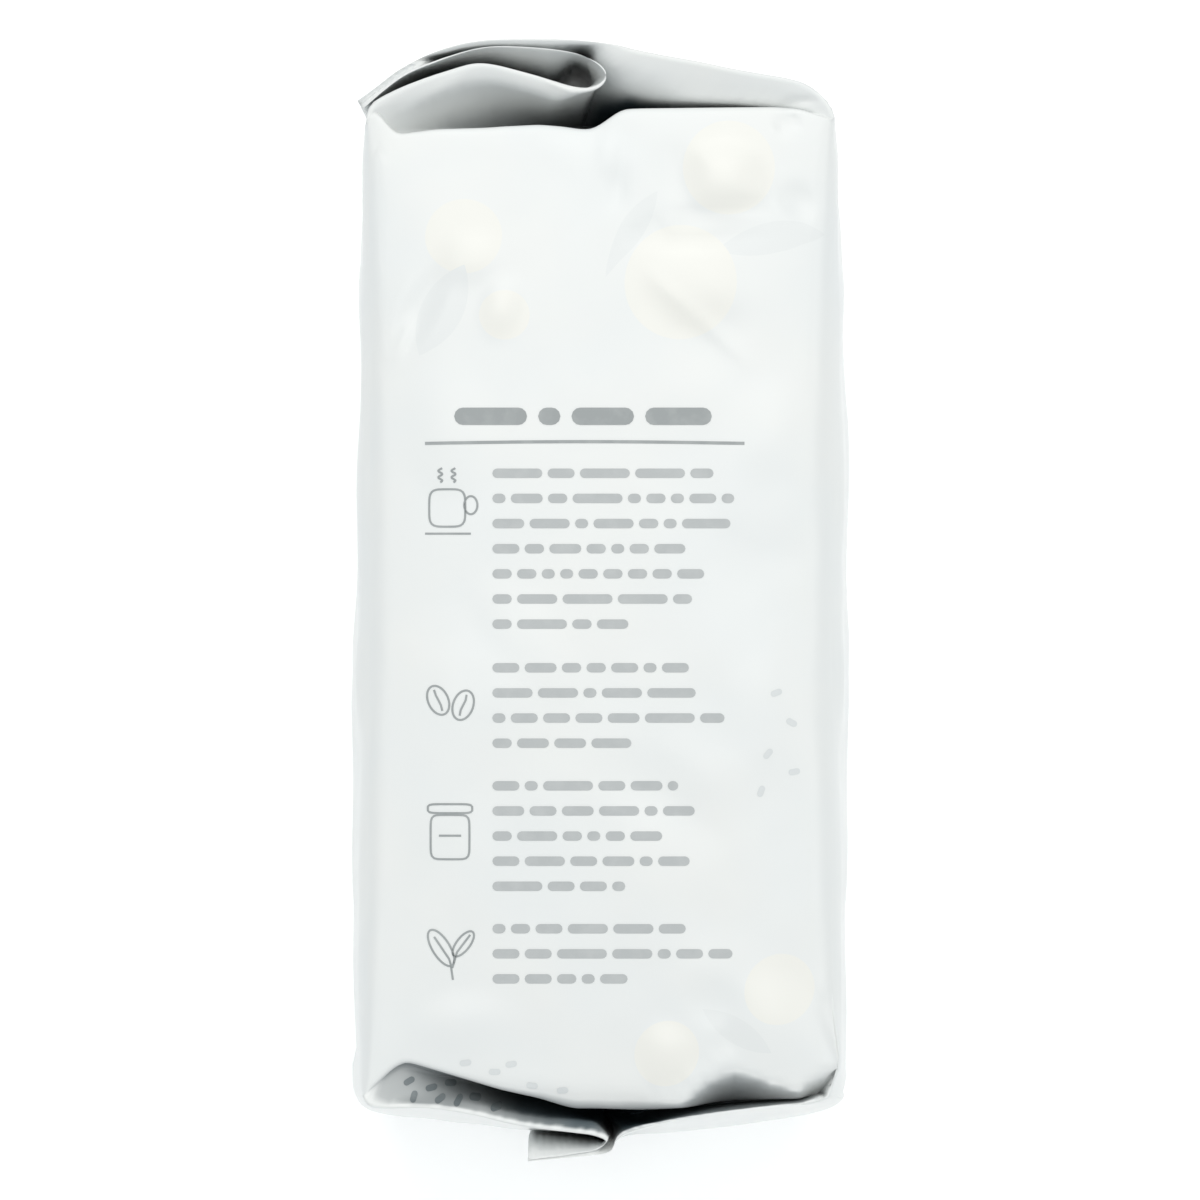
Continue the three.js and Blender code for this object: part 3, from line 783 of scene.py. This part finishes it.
peeled = node(tree, "ShaderNodeBump", {"Strength": 0.2, "Distance": PEEL_DEPTH},
              {"Height": peel.outputs["Fac"], "Normal": creased.outputs["Normal"]})
place = node(tree, "ShaderNodeSeparateXYZ", {}, {"Vector": on_film})
turns = node(tree, "ShaderNodeMath", {"operation": "MULTIPLY", 1: 2 * math.pi / CRIMP_PITCH},
             {0: place.outputs["Y"]})
lines = node(tree, "ShaderNodeMath", {"operation": "SINE"}, {0: turns.outputs[0]})
upper = node(tree, "ShaderNodeMath", {"operation": "GREATER_THAN", 1: (BODY + TOP["seal"]) * MM},
             {0: place.outputs["Y"]})
lower = node(tree, "ShaderNodeMath", {"operation": "LESS_THAN", 1: -BOTTOM["seal"] * MM},
             {0: place.outputs["Y"]})
sealed = node(tree, "ShaderNodeMath", {"operation": "ADD"},
              {0: upper.outputs[0], 1: lower.outputs[0]})
crimp = node(tree, "ShaderNodeMath", {"operation": "MULTIPLY"},
             {0: sealed.outputs[0], 1: lines.outputs[0]})
crimped = node(tree, "ShaderNodeBump", {"Strength": 0.28, "Distance": CRIMP_DEPTH},
               {"Height": crimp.outputs[0], "Normal": peeled.outputs["Normal"]})
tree.links.new(crimped.outputs["Normal"], shader.inputs["Normal"])
bag.data.materials.append(film_white)
for polygon in bag.data.polygons:
    polygon.use_smooth = True
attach(bag, "root")
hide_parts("bag")

# Print on the shown side, in grey ink that a roller puts on the flat film: a heading, a rule and
# rows of plain word bars, beside line pictures of a cup, beans, a tin and leaves, and small ovals
# at the folds. It is generic, and each piece is a thin skin of ink that lies on the film.
INK_ABOVE = 0.06  # of the ink's top over the film, drawn thicker than real ink so that it shows
INK_THICK = 0.03
INK_STEP = 0.8
LINE_PITCH = 3.62
WORD_HIGH = 1.35
STROKE = 0.3
TEXT_LEFT = -15.5
PICTURE_MIDDLE = -21.6
HEADING_LEVEL = 26.6
# Each bar of the heading has its left end, its width and its height.
HEADING = [(-21.0, 10.5, 2.5), (-8.9, 3.2, 2.5), (-4.1, 9.0, 2.5), (6.5, 9.6, 2.5)]
RULE = (-25.2, 20.8, 22.7, 0.45)  # from and to across the bag, level, width
RULE_RISE = 0.25
# Each paragraph has the level of its first row, its rows and its width.
PARAGRAPHS = [(18.4, 7, 35.6), (-9.6, 4, 36.4), (-26.6, 5, 34.8), (-47.2, 3, 35.4)]
WORD_LENGTHS = (1.9, 2.8, 3.9, 4.6, 5.8, 7.2)
WORD_GAP = 0.75
SHORTEST_WORD = 1.5
SHORTEST_ROW = 0.72  # as a share of the paragraph's width
LAST_ROW = 0.55
# Each small oval has its place and its turn in degrees.
FOLD_OVALS = [(-27.6, -69.4, 30), (-24.4, -70.4, 12), (-21.7, -69.9, -8), (-26.9, -71.6, 75),
              (-20.5, -72.2, 60), (-18.1, -71.9, -10), (-15.0, -73.2, 15), (-23.1, -71.9, 35)]
OVALS = [(-19.4, -66.6, 8), (-15.2, -67.9, 0), (-9.8, -69.9, -6), (-12.8, -66.8, 10),
         (-5.4, -70.6, 4), (25.4, -13.2, 20), (27.6, -17.5, -30), (24.2, -22.0, 50),
         (28.0, -24.6, 10), (23.2, -27.4, 70)]
OVAL_HALF = 0.85
OVAL_WIDE = 0.9
LAID_FROM = FACE + 12  # level from which a strip of ink is laid down on the film
WAY_STEP = 0.02


def ribbon(points, width, ends=0):
    """A flat strip of ink along the points, with its ends rounded by this share of its width."""
    path = np.array(points, float)
    steps = np.linalg.norm(np.diff(path, axis=0), axis=1)
    length = np.concatenate([[0], np.cumsum(steps)])
    count = max(3, round(length[-1] / min(INK_STEP, 0.25 * length[-1])) + 1, len(path) * (ends == 0))
    across = np.array([-1, -0.9, -0.55, 0, 0.55, 0.9, 1]) if ends else np.array([-1, 0, 1])
    share = np.linspace(0, 1, count)[None, :] + 0 * across[:, None]
    inset = ends * width / 2 * (1 - np.sqrt(1 - across ** 2))[:, None] / length[-1]
    at = (inset + share * (1 - 2 * inset)) * length[-1]
    middle = np.stack([np.interp(at, length, path[:, k]) for k in (0, 1)], -1)
    ahead = np.stack([np.interp(at + WAY_STEP, length, path[:, k]) for k in (0, 1)], -1)
    behind = np.stack([np.interp(at - WAY_STEP, length, path[:, k]) for k in (0, 1)], -1)
    way = ahead - behind
    way /= np.linalg.norm(way, axis=-1, keepdims=True)
    side = np.stack([-way[..., 1], way[..., 0]], -1)
    flat = middle + side * (across * width / 2)[:, None, None]
    bpy.ops.mesh.primitive_grid_add(x_subdivisions=count - 1, y_subdivisions=len(across) - 1, size=1)
    strip = bpy.context.object
    level = np.full((*flat.shape[:2], 1), LAID_FROM)
    placed = np.concatenate([flat + [0, MIDDLE_UP], level], -1) * MM
    strip.data.vertices.foreach_set("co", placed.astype(np.float32).ravel())
    return strip


def ring(middle, wide, high, turn=0, corner=1):
    """Points round an oval, or round a box with round corners where corner is under 1."""
    angle = np.linspace(0, 2 * math.pi, 49)
    c, s = np.cos(angle), np.sin(angle)
    u = np.sign(c) * np.abs(c) ** corner * wide / 2
    v = np.sign(s) * np.abs(s) ** corner * high / 2
    a = math.radians(turn)
    return np.column_stack([middle[0] + u * math.cos(a) - v * math.sin(a),
                            middle[1] + u * math.sin(a) + v * math.cos(a)])


def bar(x, y, wide, high):
    return ribbon([(x, y), (x + wide, y)], high, 1)


RING_CLOSES = 1e-6  # the two ends of a ring are merged


def ink_piece(name, strips, ink):
    """Joins the strips, lays them on the film and gives them the ink's thickness."""
    for strip in strips:
        strip.select_set(True)
    bpy.context.view_layer.objects.active = strips[0]
    bpy.ops.object.join()
    piece = bpy.context.object
    piece.name = name
    bpy.ops.object.mode_set(mode="EDIT")
    bpy.ops.mesh.select_all(action="SELECT")
    bpy.ops.mesh.remove_doubles(threshold=RING_CLOSES)
    bpy.ops.object.mode_set(mode="OBJECT")
    modify(piece, "SHRINKWRAP", target=bag, wrap_method="PROJECT", use_project_z=True,
           use_negative_direction=True, use_positive_direction=False,
           wrap_mode="ABOVE_SURFACE", offset=INK_ABOVE * MM)
    modify(piece, "SOLIDIFY", thickness=INK_THICK * MM, offset=-1)
    piece.data.materials.append(ink)
    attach(piece, "root")
    deselect()


PATCH_SIZE = 2.5 * MM


def ink_of(name, hex_colour, roughness):
    """Dried solvent ink, matt over the glossy film, a little thinner in some places."""
    ink = bpy.data.materials.new(name)
    ink.use_nodes = True
    tree = ink.node_tree
    shader = tree.nodes["Principled BSDF"]
    place = node(tree, "ShaderNodeTexCoord", {}, {})
    patchy = node(tree, "ShaderNodeTexNoise", {"Scale": 1 / PATCH_SIZE, "Detail": 3.0},
                  {"Vector": place.outputs["Object"]})
    thin = node(tree, "ShaderNodeMapRange", {"From Min": 0.45, "From Max": 0.75, "To Max": 0.12},
                {"Value": patchy.outputs["Fac"]})
    mixed = node(tree, "ShaderNodeMix", {"data_type": "RGBA", 6: linear(hex_colour),
                                         7: linear(WARM_WHITE_HEX)}, {0: thin.outputs["Result"]})
    tree.links.new(mixed.outputs[2], shader.inputs["Base Color"])
    shader.inputs["Roughness"].default_value = roughness
    return ink


deselect()
grey_ink = ink_of("grey_ink", "979c9d", 0.5)
word_ink = ink_of("grey_ink_of_words", "b1b5b6", 0.5)
# The ovals at the folds are print, and their ink is drawn darker by painted shade, since the fold's
# painted shade is not on the ink.
fold_ink_and_painted_shade = ink_of("fold_ink_and_painted_shade", "737b7e", 0.45)
faint_ink = ink_of("faint_ink", "d3d7d8", 0.45)
heading = [bar(x, HEADING_LEVEL, wide, high) for x, wide, high in HEADING]
rule_from, rule_to, rule_level, rule_width = RULE
arch = [(x, rule_level + RULE_RISE * math.sin(math.pi * (x - rule_from) / (rule_to - rule_from)))
        for x in np.linspace(rule_from, rule_to, 40)]
ink_piece("print_heading", heading + [ribbon(arch, rule_width)], grey_ink)

random.seed(5)
words = []
for first_level, count, wide in PARAGRAPHS:
    for row in range(count):
        x = TEXT_LEFT
        filled = random.uniform(SHORTEST_ROW, 1) if row < count - 1 else LAST_ROW
        stop = TEXT_LEFT + wide * filled
        while x < stop - SHORTEST_WORD:
            long = min(random.choice(WORD_LENGTHS), stop - x)
            words.append(bar(x, first_level - row * LINE_PITCH, long, WORD_HIGH))
            x += long + WORD_GAP
ink_piece("print_words", words, word_ink)

# The line pictures, one below the other: cup and steam, two beans, tin with its lid, two leaves.
m = PICTURE_MIDDLE
cup_level, beans_level, tin_level, leaves_level = 13.4, -14.6, -33.6, -51.0


def steam(x, y):
    return [(x + 0.3 * math.sin(2 * k), y + 0.3 * k) for k in np.arange(0, 7, 0.2)]


cup_lines = [
    ring((m - 0.4, cup_level), 5.2, 5.4, corner=0.45),
    ring((m + 3.0, cup_level + 0.4), 1.9, 2.6),
    [(m - 3.6, cup_level - 3.7), (m + 3.0, cup_level - 3.7)],
    steam(m - 1.4, cup_level + 3.7), steam(m + 0.5, cup_level + 3.7),
]
bean_lines = [
    ring((m - 1.7, beans_level + 0.3), 2.9, 4.4, 25),
    [(m - 2.3, beans_level + 1.8), (m - 1.9, beans_level + 0.6), (m - 1.4, beans_level),
     (m - 1.1, beans_level - 1.2)],
    ring((m + 1.9, beans_level - 0.4), 2.9, 4.4, -20),
    [(m + 2.4, beans_level + 1.1), (m + 2.2, beans_level), (m + 1.6, beans_level - 0.8),
     (m + 1.4, beans_level - 1.9)],
]
tin_lines = [
    ring((m, tin_level - 0.4), 5.6, 6.4, corner=0.3),
    ring((m, tin_level + 3.7), 6.4, 1.3, corner=0.4),
    [(m - 1.6, tin_level - 0.2), (m + 1.6, tin_level - 0.2)],
]
leaf_lines = [
    ring((m - 1.3, leaves_level + 1.0), 2.5, 6.0, 32),
    ring((m + 1.9, leaves_level + 1.6), 1.9, 4.4, -38),
    [(m - 2.3, leaves_level + 2.6), (m, leaves_level - 0.8), (m + 0.4, leaves_level - 3.6)],
    [(m + 2.9, leaves_level + 2.9), (m + 1.0, leaves_level + 0.4), (m + 0.3, leaves_level - 1.9)],
]
pictures = [ribbon(line, STROKE) for line in cup_lines + bean_lines + tin_lines + leaf_lines]
ink_piece("print_pictures", pictures, grey_ink)

for name, places, ink in (("print_ovals_of_fold", FOLD_OVALS, fold_ink_and_painted_shade),
                          ("print_ovals", OVALS, faint_ink)):
    ovals = []
    for x, y, turn in places:
        a = math.radians(turn)
        half = np.array([math.cos(a), math.sin(a)]) * OVAL_HALF
        ovals.append(ribbon([np.array([x, y]) - half, np.array([x, y]) + half], OVAL_WIDE, 1))
    ink_piece(name, ovals, ink)

# Table. A plain pale matt surface that the bag lies on. It is only the stage: it is lit evenly, and
# glows a little, so that it comes out nearly white.
TABLE_SIZE = 6
TABLE_HEX = "f4f5f5"
TABLE_GLOW_HEX = "ffffff"
TABLE_GLOW = 0.27
deselect()
bpy.ops.mesh.primitive_plane_add(size=TABLE_SIZE)
table = bpy.context.object
table.name = "table"
pale_table = bpy.data.materials.new("pale_table")
pale_table.use_nodes = True
top = pale_table.node_tree.nodes["Principled BSDF"]
top.inputs["Base Color"].default_value = linear(TABLE_HEX)
top.inputs["Roughness"].default_value = 0.7
top.inputs["Emission Color"].default_value = linear(TABLE_GLOW_HEX)
top.inputs["Emission Strength"].default_value = TABLE_GLOW
table.data.materials.append(pale_table)

# Studio. Wide soft boxes on both sides and behind, one overhead, a small low one in front that
# lights the bottom end, and an even pale room. All face the middle of the table.
ROOM_HEX = "e9f0f5"
ROOM_LIGHT = 0.53
LAMP_HEX = "fffcf7"
LAMPS = [  # name, place in metres, size in metres, watts
    ("overhead", (0.05, 0.5, 1.7), 1.2, 10), ("left", (-1.1, 0, 1.2), 1.0, 3.6),
    ("right", (1.1, 0, 1.2), 1.0, 4.3), ("behind", (0, 1.1, 1.2), 1.0, 5.5),
    ("front", (0, -1.2, 0.12), 0.6, 3.8),
]
world = bpy.data.worlds.new("pale_room")
bpy.context.scene.world = world
world.use_nodes = True
world.node_tree.nodes["Background"].inputs["Color"].default_value = linear(ROOM_HEX)
world.node_tree.nodes["Background"].inputs["Strength"].default_value = ROOM_LIGHT
for name, place, size, watts in LAMPS:
    lamp = bpy.data.lights.new(name, "AREA")
    lamp.shape = "RECTANGLE"
    lamp.size = lamp.size_y = size
    lamp.energy = watts
    lamp.color = linear(LAMP_HEX)[:3]
    box = bpy.data.objects.new(name, lamp)
    box.location = place
    box.rotation_mode = "QUATERNION"
    box.rotation_quaternion = (-Vector(place)).to_track_quat("-Z", "Y")
    bpy.context.scene.collection.objects.link(box)
bpy.context.scene.view_settings.view_transform = "Standard"

# Camera. It looks straight down on the shown side, and its lens gives the photo's scale at the
# level of the bag's upper edges.
PHOTO_PX = 1200
PX_MM = 0.1443  # one pixel of the photo at the level of the bag's upper edges
DISTANCE = 1.2
SENSOR = 0.036
lens = bpy.data.cameras.new("camera")
lens.sensor_width = SENSOR * 1000
lens.lens = SENSOR * DISTANCE / (PHOTO_PX * PX_MM * MM) * 1000
lens.clip_start, lens.clip_end = 0.01, 20  # metres
camera = bpy.data.objects.new("camera", lens)
camera.location = (0, (MIDDLE_UP + PX_MM) * MM, (FACE + REST) * MM + DISTANCE)
bpy.context.scene.collection.objects.link(camera)
bpy.context.scene.camera = camera
